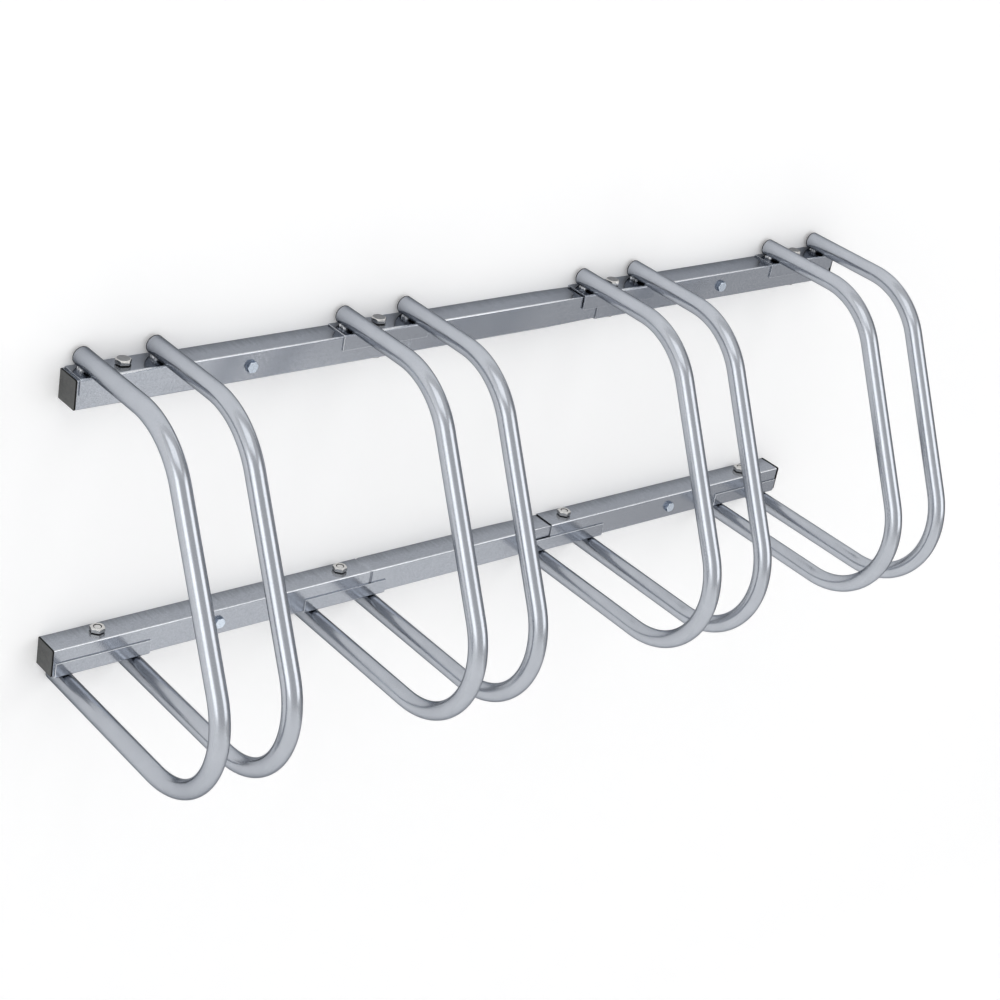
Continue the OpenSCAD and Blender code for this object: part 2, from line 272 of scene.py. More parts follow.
def makeMetal(name, look):
    material = bpy.data.materials.new(name)
    material.use_nodes = True
    tree = material.node_tree
    shader = tree.nodes["Principled BSDF"]
    shader.inputs["Metallic"].default_value = look.get("metal", 1.0)
    shader.inputs["Specular Tint"].default_value = look["rimTint"]
    place = tree.nodes.new("ShaderNodeTexCoord")
    mottle = addNode(tree, "ShaderNodeGroup", {"node_tree": mottleGroup}, {
        "Patch Scale": look["patchScale"], "Grain Scale": look["grainScale"],
        "Dark": look["dark"], "Light": look["light"], "Grain Share": look["grainShare"],
        "Smoothest": look["smoothest"], "Roughest": look["roughest"]})
    streaks = addNode(tree, "ShaderNodeGroup", {"node_tree": streakGroup}, {
        "Stretch": look["stretch"], "Depth": look["streakDepth"]})
    bump = addNode(tree, "ShaderNodeBump", None, {
        "Strength": look["bump"], "Distance": look["bumpHeight"]})
    join(tree,
         (place, "Object", mottle, "Coordinates"),
         (place, "Object", streaks, "Coordinates"),
         (mottle, "Colour", streaks, "Colour"),
         (mottle, "Grain", streaks, "Height"),
         (mottle, "Roughness", shader, "Roughness"),
         (streaks, "Height", bump, "Height"),
         (bump, "Normal", shader, "Normal"))
    last = streaks
    for values in look.get("bands", []):
        band = addNode(tree, "ShaderNodeGroup", {"node_tree": bandGroup}, values)
        join(tree, (place, "Object", band, "Coordinates"), (last, "Colour", band, "Colour"))
        last = band
    join(tree, (last, "Colour", shader, "Base Color"))
    return material


def makePlastic(name, look):
    material = bpy.data.materials.new(name)
    material.use_nodes = True
    tree = material.node_tree
    shader = tree.nodes["Principled BSDF"]
    shader.inputs["Specular IOR Level"].default_value = look["gloss"]
    place = tree.nodes.new("ShaderNodeTexCoord")
    mottle = addNode(tree, "ShaderNodeGroup", {"node_tree": mottleGroup}, {
        "Patch Scale": look["patchScale"], "Grain Scale": look["grainScale"],
        "Dark": look["dark"], "Light": look["light"], "Grain Share": look["grainShare"],
        "Smoothest": look["smoothest"], "Roughest": look["roughest"]})
    bump = addNode(tree, "ShaderNodeBump", None, {
        "Strength": look["bump"], "Distance": look["bumpHeight"]})
    join(tree,
         (place, "Object", mottle, "Coordinates"),
         (mottle, "Colour", shader, "Base Color"),
         (mottle, "Roughness", shader, "Roughness"),
         (mottle, "Grain", bump, "Height"),
         (bump, "Normal", shader, "Normal"))
    return material


railSteel = makeMetal("railSteel", {
    "dark": (0.362, 0.384, 0.424, 1), "light": (0.482, 0.505, 0.549, 1),
    "patchScale": 420.0, "grainScale": 1100.0, "grainShare": 0.75,
    "smoothest": 0.15, "roughest": 0.23, "rimTint": (0.35, 0.36, 0.38, 1),
    "stretch": (10.0, 500.0, 500.0), "streakDepth": 0.06, "bump": 0.10, "bumpHeight": 0.00003,
    # painted shade: the first band darkens the rails' tops and bottoms over the half next to the wall,
    # with a ragged edge; the second turns the last 2 mm of steel at the +X end near-black
    "bands": [
        {"Along": (0.0, 1.0, 0.0), "Starts": -0.015, "Full": -0.001, "Ragged": 0.022,
         "Shade": (0.290, 0.307, 0.335, 1)},
        {"Starts": 0.46790, "Full": 0.46805, "Shade": (0.010, 0.010, 0.011, 1)}]})
bracketSteel = makeMetal("bracketSteel", {
    "dark": (0.350, 0.372, 0.412, 1), "light": (0.455, 0.478, 0.522, 1),
    "patchScale": 420.0, "grainScale": 1100.0, "grainShare": 0.75,
    "smoothest": 0.11, "roughest": 0.18, "rimTint": (0.30, 0.31, 0.33, 1),
    "stretch": (10.0, 500.0, 500.0), "streakDepth": 0.06, "bump": 0.08, "bumpHeight": 0.00004})
# painted highlight: a much lighter copy of the steel for the broken edges and rounded top-front corners
# of rails and brackets, so that they show bright lines; it carries the rails' near-black +X end band
# too
paintedHighlightSteel = makeMetal("paintedHighlightSteel", {
    "dark": (0.71, 0.73, 0.76, 1), "light": (0.87, 0.89, 0.91, 1),
    "patchScale": 200.0, "grainScale": 1100.0, "grainShare": 0.5,
    "smoothest": 0.22, "roughest": 0.32, "rimTint": (0.6, 0.61, 0.63, 1),
    "stretch": (30.0, 500.0, 500.0), "streakDepth": 0.15, "bump": 0.08, "bumpHeight": 0.00004,
    "bands": [{"Starts": 0.46790, "Full": 0.46805, "Shade": (0.010, 0.010, 0.011, 1)}]})
# painted shade: the rails' cut ends and seam steps are near-black, except for a strip in plain steel
# tone along their front 2 mm
cutEndsPaintedShade = makeMetal("cutEndsPaintedShade", {
    "dark": (0.035, 0.036, 0.039, 1), "light": (0.085, 0.088, 0.094, 1),
    "patchScale": 300.0, "grainScale": 1500.0, "grainShare": 0.5,
    "smoothest": 0.32, "roughest": 0.45, "rimTint": (0.08, 0.08, 0.09, 1),
    "stretch": (500.0, 60.0, 500.0), "streakDepth": 0.2, "bump": 0.1, "bumpHeight": 0.00004,
    "bands": [{"Along": (0.0, -1.0, 0.0), "Starts": 0.0258, "Full": 0.0268,
               "Shade": (0.42, 0.44, 0.47, 1)}]})
hoopSteel = makeMetal("hoopSteel", {
    "dark": (0.462, 0.486, 0.528, 1), "light": (0.498, 0.522, 0.565, 1),
    "patchScale": 45.0, "grainScale": 900.0, "grainShare": 0.5,
    "smoothest": 0.19, "roughest": 0.25, "rimTint": (0.27, 0.28, 0.30, 1),
    "stretch": (500.0, 60.0, 60.0), "streakDepth": 0.03, "bump": 0.05, "bumpHeight": 0.00003})
weldSteel = makeMetal("weldSteel", {
    "dark": (0.14, 0.147, 0.16, 1), "light": (0.97, 0.98, 1.0, 1), "metal": 0.6,
    "patchScale": 400.0, "grainScale": 1300.0, "grainShare": 0.1,
    "smoothest": 0.12, "roughest": 0.24, "rimTint": (0.5, 0.5, 0.52, 1),
    "stretch": (300.0, 500.0, 300.0), "streakDepth": 0.2, "bump": 1.0, "bumpHeight": 0.0004})
boltNickel = makeMetal("boltNickel", {
    "dark": (0.66, 0.65, 0.63, 1), "light": (0.78, 0.77, 0.75, 1),
    "patchScale": 260.0, "grainScale": 2200.0, "grainShare": 0.4,
    "smoothest": 0.12, "roughest": 0.19, "rimTint": (0.5, 0.5, 0.5, 1),
    "stretch": (900.0, 900.0, 200.0), "streakDepth": 0.1, "bump": 0.15, "bumpHeight": 0.00005})
# painted shade: a darker, rougher copy of the bolt metal for the flat tops of the bolt heads
boltTopPaintedShade = makeMetal("boltTopPaintedShade", {
    "dark": (0.33, 0.335, 0.345, 1), "light": (0.42, 0.425, 0.435, 1),
    "patchScale": 320.0, "grainScale": 2200.0, "grainShare": 0.5,
    "smoothest": 0.26, "roughest": 0.38, "rimTint": (0.3, 0.3, 0.3, 1),
    "stretch": (900.0, 900.0, 200.0), "streakDepth": 0.2, "bump": 0.3, "bumpHeight": 0.00006})
screwZinc = makeMetal("screwZinc", {
    "dark": (0.64, 0.71, 0.80, 1), "light": (0.72, 0.79, 0.88, 1),
    "patchScale": 260.0, "grainScale": 2200.0, "grainShare": 0.4,
    "smoothest": 0.22, "roughest": 0.32, "rimTint": (0.4, 0.44, 0.5, 1),
    "stretch": (900.0, 200.0, 900.0), "streakDepth": 0.1, "bump": 0.2, "bumpHeight": 0.00006})
# painted shade: a darker copy of the screws' zinc for every face of the heads that doesn't face the
# front, and for the washers
screwSidesPaintedShade = makeMetal("screwSidesPaintedShade", {
    "dark": (0.26, 0.30, 0.36, 1), "light": (0.42, 0.47, 0.55, 1),
    "patchScale": 300.0, "grainScale": 2200.0, "grainShare": 0.4,
    "smoothest": 0.22, "roughest": 0.34, "rimTint": (0.15, 0.17, 0.2, 1),
    "stretch": (900.0, 200.0, 900.0), "streakDepth": 0.2, "bump": 0.2, "bumpHeight": 0.00006})
# painted shadow: near-black for the washer faces under bolt heads and nuts and for the bolts' ends,
# where the gap lies in shadow
gapPaintedShadow = makePlastic("gapPaintedShadow", {
    "dark": (0.010, 0.010, 0.011, 1), "light": (0.030, 0.031, 0.033, 1),
    "patchScale": 400.0, "grainScale": 2400.0, "grainShare": 0.5,
    "smoothest": 0.6, "roughest": 0.8, "gloss": 0.2, "bump": 0.3, "bumpHeight": 0.0001})
capPlastic = makePlastic("capPlastic", {
    "dark": (0.046, 0.048, 0.047, 1), "light": (0.070, 0.072, 0.071, 1),
    "patchScale": 240.0, "grainScale": 1600.0, "grainShare": 0.7,
    "smoothest": 0.44, "roughest": 0.58, "gloss": 0.45, "bump": 0.3, "bumpHeight": 0.0001})
# painted shade: a near-black, glossier copy of the cap plastic for the caps' rims, the faces not turned
# along the rail
capRimPaintedShade = makePlastic("capRimPaintedShade", {
    "dark": (0.006, 0.006, 0.006, 1), "light": (0.013, 0.013, 0.013, 1),
    "patchScale": 240.0, "grainScale": 1600.0, "grainShare": 0.7,
    "smoothest": 0.26, "roughest": 0.38, "gloss": 0.10, "bump": 0.15, "bumpHeight": 0.00008})
plugPlastic = makePlastic("plugPlastic", {
    "dark": (0.012, 0.012, 0.013, 1), "light": (0.024, 0.025, 0.026, 1),
    "patchScale": 260.0, "grainScale": 1800.0, "grainShare": 0.6,
    "smoothest": 0.40, "roughest": 0.55, "gloss": 0.2, "bump": 0.3, "bumpHeight": 0.0001})
print("materials built")


# pieces whose shape is the CAD node's, with their sharp edges broken; on rails and brackets the broken
# edges carry a painted highlight
brokenEdges = {
    "mergeGap": 0.000002,
    "flatAngle": 0.6,
    "sharpAngle": 32.0,
    "taperAngle": 1.5,
    "taperSpan": 0.13,
    "alongRail": 0.98,
    "railEnd": 0.4697,
    "slanted": 0.35,
    "rail": (0.00020, 2),
    "bracket": (0.00038, 3),
    "cap": (0.00018, 2),
    "fastener": (0.00016, 2),
}
fastenerSizes = {
    "headHeight": 0.0053,
    "nutHeight": 0.005,
    "washerFace": 0.0009,
    "boltPoint": 0.001,
    "squareOn": 0.9,
    "headFace": 0.25,
}


def softCopy(name, node, edgeSize, materials, pick=None, cut=None, tapers=False, highlightSlot=-1):
    mesh = cadNodes[node].data.copy()
    shape = bmesh.new()
    shape.from_mesh(mesh)
    bmesh.ops.remove_doubles(shape, verts=shape.verts, dist=brokenEdges["mergeGap"])
    if cut is not None:  # only what is in front of this depth is kept
        everything = shape.verts[:] + shape.edges[:] + shape.faces[:]
        result = bmesh.ops.bisect_plane(shape, geom=everything, plane_co=(0, cut, 0),
                                        plane_no=(0, 1, 0), clear_outer=True)
        rim = [item for item in result["geom_cut"] if isinstance(item, bmesh.types.BMEdge)]
        bmesh.ops.holes_fill(shape, edges=rim)
    bmesh.ops.dissolve_limit(shape, angle_limit=math.radians(brokenEdges["flatAngle"]),
                             verts=shape.verts, edges=shape.edges)
    weight = shape.edges.layers.float.new("bevel_weight_edge")
    for edge in shape.edges:
        middle = (edge.verts[0].co + edge.verts[1].co) / 2
        run = (edge.verts[1].co - edge.verts[0].co).normalized()
        across = abs(run.x) < brokenEdges["alongRail"]
        isTaper = tapers and across and abs(middle.x) < brokenEdges["taperSpan"]
        limit = brokenEdges["taperAngle"] if isTaper else brokenEdges["sharpAngle"]
        if edge.calc_face_angle(0) > math.radians(limit):
            edge[weight] = 1
    shape.to_mesh(mesh)
    shape.free()
    mesh.shade_smooth()
    finishes(mesh, materials)
    thing = linkObject(name, mesh)
    bevel = thing.modifiers.new("brokenEdge", "BEVEL")
    bevel.width, bevel.segments = edgeSize
    bevel.limit_method = "WEIGHT"
    # the bevel's faces take the painted-highlight slot when one is given
    bevel.material = highlightSlot
    bevel.use_clamp_overlap = True
    weighted = thing.modifiers.new("flatFaces", "WEIGHTED_NORMAL")
    weighted.keep_sharp = False
    settle(thing, materials)
    if pick:
        for face in thing.data.polygons:
            choice = pick(face)
            if choice is not None:
                face.material_index = choice
    return thing


# rails: faces turned along the rail, and faces at the very ends, take the near-black painted-shade ends
# (2); the slanted top-front corner faces take the painted highlight (1)
def railFace(face):
    if abs(face.normal.x) > fastenerSizes["squareOn"] or abs(face.center.x) > brokenEdges["railEnd"]:
        return 2
    if face.normal.y < -brokenEdges["slanted"] and face.normal.z > brokenEdges["slanted"]:
        return 1
    return None


# brackets: the slanted faces of the fold take the painted highlight (1)
def bracketFace(face):
    if face.normal.y < -brokenEdges["slanted"] and face.normal.z > brokenEdges["slanted"]:
        return 1
    return None


# caps: the end faces keep the cap plastic, the rims take the near-black painted-shade copy
def capFace(face):
    return 0 if abs(face.normal.x) > fastenerSizes["squareOn"] else 1


# bolts: the flat head tops take the darker painted-shade copy (1); the washer faces under the heads and
# the last mm at the shank's end take the near-black painted shadow (2)
def boltFace(node):
    low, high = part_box(node)
    headTop = max(abs(low.z), abs(high.z))
    shankEnd = min(abs(low.z), abs(high.z))
    seat = headTop - fastenerSizes["headHeight"]

    def pick(face):
        height = abs(face.center.z)
        level = abs(face.normal.z) > fastenerSizes["squareOn"]
        if level and height > headTop - fastenerSizes["washerFace"]:
            return 1
        if not level and seat < height < seat + fastenerSizes["washerFace"]:
            return 2
        return 0 if height > shankEnd + fastenerSizes["boltPoint"] or level else 2
    return pick


# nuts: the sides of the washer face take the near-black painted shadow (2)
def nutFace(node):
    low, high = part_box(node)
    seat = min(abs(low.z), abs(high.z)) + fastenerSizes["nutHeight"]

    def pick(face):
        beside = abs(face.normal.z) < fastenerSizes["squareOn"]
        return 2 if beside and abs(face.center.z) > seat - fastenerSizes["washerFace"] else 0
    return pick


# screw heads: faces turned to the front keep the light zinc, the rest take the darker painted-shade
# copy
def screwFace(face):
    return 0 if face.normal.y < -fastenerSizes["headFace"] else 1


for level in levels:
    for part in ("left", "middle", "right"):
        node = f"{level}_rail_{part}"
        declare(softCopy(f"rail_{level}_{part}", node, brokenEdges["rail"],
                         [railSteel, paintedHighlightSteel, cutEndsPaintedShade], pick=railFace, tapers=True, highlightSlot=1),
                [node])
    for part in sides:
        node = f"{level}_cap_{part}"
        declare(softCopy(f"cap_{level}_{part}", node, brokenEdges["cap"], [capPlastic, capRimPaintedShade],
                         pick=capFace), [node])
    for place in places:
        node = f"{level}_bracket_{place}"
        declare(softCopy(f"bracket_{level}_{place}", node, brokenEdges["bracket"],
                         [bracketSteel, paintedHighlightSteel], pick=bracketFace, highlightSlot=1),
                [node])
    for part, rule in (("bolts", boltFace), ("nuts", nutFace)):
        node = f"{level}_{part}"
        declare(softCopy(f"{part}_{level}", node, brokenEdges["fastener"],
                         [boltNickel, boltTopPaintedShade, gapPaintedShadow], pick=rule(node)),
                [node])
declare(softCopy("washers", "wall_screw_washers", brokenEdges["fastener"], [screwSidesPaintedShade]),
        ["wall_screw_washers"])
print("rails, caps, brackets and fasteners copied with broken edges")


# wall screws: head and shank from the CAD node, and behind them a real thread
wallScrew = {
    "cutDepth": -0.006,
    "overlap": 0.002,
    "washerRadius": 0.006,
    "coreRadius": 0.0022,
    "ridgeRadius": 0.00078,
    "pitch": 0.0026,
    "threadStart": 0.0005,
    "pointLength": 0.006,
    "tipShare": 0.12,
    "roundSides": 24,
    "ridgeSides": 6,
    "coreSteps": 60,
}


def makeThreadTree():
    tree = makeTree(
        "screwThread", "GeometryNodeTree",
        [("Screws", "NodeSocketGeometry", None),
         ("Core Radius", "NodeSocketFloat", 0.0022),
         ("Ridge Radius", "NodeSocketFloat", 0.0008),
         ("Turns", "NodeSocketFloat", 11.0),
         ("Thread Start", "NodeSocketFloat", 0.0065),
         ("Thread Length", "NodeSocketFloat", 0.03),
         ("Whole Length", "NodeSocketFloat", 0.037),
         ("Point Length", "NodeSocketFloat", 0.006),
         ("Tip Share", "NodeSocketFloat", 0.12),
         ("Round Sides", "NodeSocketInt", 24),
         ("Ridge Sides", "NodeSocketInt", 6),
         ("Core Steps", "NodeSocketInt", 60),
         ("Finish", "NodeSocketMaterial", None)],
        [("Thread", "NodeSocketGeometry")])
    start = tree.nodes.new("NodeGroupInput")
    end = tree.nodes.new("NodeGroupOutput")
    spiral = tree.nodes.new("GeometryNodeCurveSpiral")
    ridge = tree.nodes.new("GeometryNodeCurvePrimitiveCircle")
    wind = addNode(tree, "GeometryNodeCurveToMesh", None, {"Fill Caps": True})
    lift = tree.nodes.new("ShaderNodeCombineXYZ")
    raised = tree.nodes.new("GeometryNodeTransform")
    core = tree.nodes.new("GeometryNodeMeshCylinder")
    half = addNode(tree, "ShaderNodeMath", {"operation": "MULTIPLY"}, {1: 0.5})
    coreLift = tree.nodes.new("ShaderNodeCombineXYZ")
    coreRaised = tree.nodes.new("GeometryNodeTransform")
    both = tree.nodes.new("GeometryNodeJoinGeometry")
    here = tree.nodes.new("GeometryNodeInputPosition")
    parts = tree.nodes.new("ShaderNodeSeparateXYZ")
    taperFrom = addNode(tree, "ShaderNodeMath", {"operation": "SUBTRACT"})
    taper = addNode(tree, "ShaderNodeMapRange", None, {"To Min": 1.0})
    narrow = addNode(tree, "ShaderNodeVectorMath", {"operation": "MULTIPLY"})
    shares = addNode(tree, "ShaderNodeCombineXYZ", None, {"Z": 1.0})
    shaped = tree.nodes.new("GeometryNodeSetPosition")
    place = addNode(tree, "GeometryNodeInstanceOnPoints", None,
                    {"Rotation": (math.radians(-90), 0, 0)})
    smooth = addNode(tree, "GeometryNodeSetShadeSmooth", None, {"Shade Smooth": True})
    real = tree.nodes.new("GeometryNodeRealizeInstances")
    finish = tree.nodes.new("GeometryNodeSetMaterial")
    join(tree,
         (start, "Turns", spiral, "Rotations"),
         (start, "Core Radius", spiral, "Start Radius"),
         (start, "Core Radius", spiral, "End Radius"),
         (start, "Thread Length", spiral, "Height"),
         (start, "Round Sides", spiral, "Resolution"),
         (start, "Ridge Sides", ridge, "Resolution"),
         (start, "Ridge Radius", ridge, "Radius"),
         (spiral, "Curve", wind, "Curve"),
         (ridge, "Curve", wind, "Profile Curve"),
         (start, "Thread Start", lift, "Z"),
         (wind, "Mesh", raised, "Geometry"),
         (lift, "Vector", raised, "Translation"),
         (start, "Round Sides", core, "Vertices"),
         (start, "Core Steps", core, "Side Segments"),
         (start, "Core Radius", core, "Radius"),
         (start, "Whole Length", core, "Depth"),
         (start, "Whole Length", half, 0),
         (half, "Value", coreLift, "Z"),
         (core, "Mesh", coreRaised, "Geometry"),
         (coreLift, "Vector", coreRaised, "Translation"),
         (raised, "Geometry", both, "Geometry"),
         (coreRaised, "Geometry", both, "Geometry"),
         (here, "Position", parts, "Vector"),
         (start, "Whole Length", taperFrom, 0),
         (start, "Point Length", taperFrom, 1),
         (parts, "Z", taper, "Value"),
         (taperFrom, "Value", taper, "From Min"),
         (start, "Whole Length", taper, "From Max"),
         (start, "Tip Share", taper, "To Max"),
         (taper, "Result", shares, "X"),
         (taper, "Result", shares, "Y"),
         (here, "Position", narrow, 0),
         (shares, "Vector", narrow, 1),
         (both, "Geometry", shaped, "Geometry"),
         (narrow, "Vector", shaped, "Position"),
         (start, "Screws", place, "Points"),
         (shaped, "Geometry", place, "Instance"),
         (place, "Instances", smooth, "Geometry"),
         (smooth, "Geometry", real, "Geometry"),
         (real, "Geometry", finish, "Geometry"),
         (start, "Finish", finish, "Material"),
         (finish, "Geometry", end, "Thread"))
    return tree


def makePoints(name, points, edges=()):
    mesh = bpy.data.meshes.new(name)
    mesh.from_pydata(points, edges, [])
    return linkObject(name, mesh)


def makeScrews(sizes):
    declare(softCopy("screw_heads", "wall_screws", brokenEdges["fastener"], [screwZinc, screwSidesPaintedShade],
                     pick=screwFace, cut=sizes["cutDepth"]), ["wall_screws"])
    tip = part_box("wall_screws")[1].y
    run = tip - sizes["threadStart"] - sizes["ridgeRadius"]
    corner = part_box("wall_screw_washers")[1]
    x, z = corner.x - sizes["washerRadius"], corner.z - sizes["washerRadius"]
    start = sizes["cutDepth"] - sizes["overlap"]
    thing = makePoints("screw_threads", [(u * x, start, w * z) for u in (-1, 1) for w in (-1, 1)])
    treeInputs(makeThreadTree(), thing, {
        "Core Radius": sizes["coreRadius"], "Ridge Radius": sizes["ridgeRadius"],
        "Turns": run / sizes["pitch"],
        "Thread Start": sizes["threadStart"] - start, "Thread Length": run,
        "Whole Length": tip - start, "Point Length": sizes["pointLength"],
        "Tip Share": sizes["tipShare"], "Round Sides": sizes["roundSides"],
        "Ridge Sides": sizes["ridgeSides"], "Core Steps": sizes["coreSteps"], "Finish": screwZinc})
    declare(settle(thing, [screwZinc]), ["wall_screws"])


makeScrews(wallScrew)
print("wall screws threaded")


# plugs in the open ends of the hoops
endPlug = {
    "rimRadius": 0.009,
    "rimThickness": 0.001,
    "stemRadius": 0.0073,
    "stemDepth": 0.009,
    "legInset": 0.009,
    "roundSides": 48,
    "rounding": (0.0004, 3),
    "roundAbove": 60.0,
}


def makePlugTree():
    tree = makeTree(
        "tubePlug", "GeometryNodeTree",
        [("Ends", "NodeSocketGeometry", None),
         ("Rim Radius", "NodeSocketFloat", 0.009),
         ("Rim Thickness", "NodeSocketFloat", 0.001),
         ("Stem Radius", "NodeSocketFloat", 0.0073),
         ("Stem Depth", "NodeSocketFloat", 0.009),
         ("Round Sides", "NodeSocketInt", 48),
         ("Finish", "NodeSocketMaterial", None)],
        [("Plugs", "NodeSocketGeometry")])
    start = tree.nodes.new("NodeGroupInput")
    end = tree.nodes.new("NodeGroupOutput")
    rim = tree.nodes.new("GeometryNodeMeshCylinder")
    rimHalf = addNode(tree, "ShaderNodeMath", {"operation": "MULTIPLY"}, {1: 0.5})
    rimPlace = tree.nodes.new("ShaderNodeCombineXYZ")
    rimMoved = tree.nodes.new("GeometryNodeTransform")
    stem = tree.nodes.new("GeometryNodeMeshCylinder")
    stemHalf = addNode(tree, "ShaderNodeMath", {"operation": "MULTIPLY"}, {1: -0.48})
    stemPlace = tree.nodes.new("ShaderNodeCombineXYZ")
    stemMoved = tree.nodes.new("GeometryNodeTransform")
    both = tree.nodes.new("GeometryNodeJoinGeometry")
    place = addNode(tree, "GeometryNodeInstanceOnPoints", None,
                    {"Rotation": (math.radians(-90), 0, 0)})
    smooth = addNode(tree, "GeometryNodeSetShadeSmooth", None, {"Shade Smooth": True})
    real = tree.nodes.new("GeometryNodeRealizeInstances")
    finish = tree.nodes.new("GeometryNodeSetMaterial")
    join(tree,
         (start, "Round Sides", rim, "Vertices"),
         (start, "Rim Radius", rim, "Radius"),
         (start, "Rim Thickness", rim, "Depth"),
         (start, "Rim Thickness", rimHalf, 0),
         (rimHalf, "Value", rimPlace, "Z"),
         (rim, "Mesh", rimMoved, "Geometry"),
         (rimPlace, "Vector", rimMoved, "Translation"),
         (start, "Round Sides", stem, "Vertices"),
         (start, "Stem Radius", stem, "Radius"),
         (start, "Stem Depth", stem, "Depth"),
         (start, "Stem Depth", stemHalf, 0),
         (stemHalf, "Value", stemPlace, "Z"),
         (stem, "Mesh", stemMoved, "Geometry"),
         (stemPlace, "Vector", stemMoved, "Translation"),
         (rimMoved, "Geometry", both, "Geometry"),
         (stemMoved, "Geometry", both, "Geometry"),
         (start, "Ends", place, "Points"),
         (both, "Geometry", place, "Instance"),
         (place, "Instances", smooth, "Geometry"),
         (smooth, "Geometry", real, "Geometry"),
         (real, "Geometry", finish, "Geometry"),
         (start, "Finish", finish, "Material"),
         (finish, "Geometry", end, "Plugs"))
    return tree


def hoopEnds():
    ends = []
    for place in places:
        for side in sides:
            low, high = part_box(f"hoop_{place}_{side}")
            ends.append(((low.x + high.x) / 2, high.y, high.z - endPlug["legInset"]))
    return ends


def makePlugs(tree, level, sizes):
    points = [(x, y, levels[level] * z) for x, y, z in hoopEnds()]
    thing = makePoints(f"end_plugs_{level}", points)
    treeInputs(tree, thing, {
        "Rim Radius": sizes["rimRadius"], "Rim Thickness": sizes["rimThickness"],
        "Stem Radius": sizes["stemRadius"], "Stem Depth": sizes["stemDepth"],
        "Round Sides": sizes["roundSides"], "Finish": plugPlastic})
    rounding = thing.modifiers.new("roundedRim", "BEVEL")
    rounding.width, rounding.segments = sizes["rounding"]
    rounding.limit_method = "ANGLE"
    rounding.angle_limit = math.radians(sizes["roundAbove"])
    declare(settle(thing, [plugPlastic]), [f"{level}_hoop_plugs"])


plugTree = makePlugTree()
for level in levels:
    makePlugs(plugTree, level, endPlug)
print("tube ends plugged:", 2 * len(hoopEnds()))


# weld beads: a lumpy run of metal on both sides of each tube
weldRun = {
    "fromTube": 0.00506,
    "rise": 0.00130,
    "radius": 0.0031,
    "frontGap": 0.0016,
    "ringSides": 16,
    "rings": 48,
    "lumps": 3.0,
    "lumpScale": 260.0,
    "lumpShare": 0.55,
    "thinnest": 0.55,
    "valley": 0.22,
    "roughScale": 520.0,
    "roughness": 0.0017,
    "wander": 0.0016,
    "endShare": 0.16,
    "seed": 4.0,
}


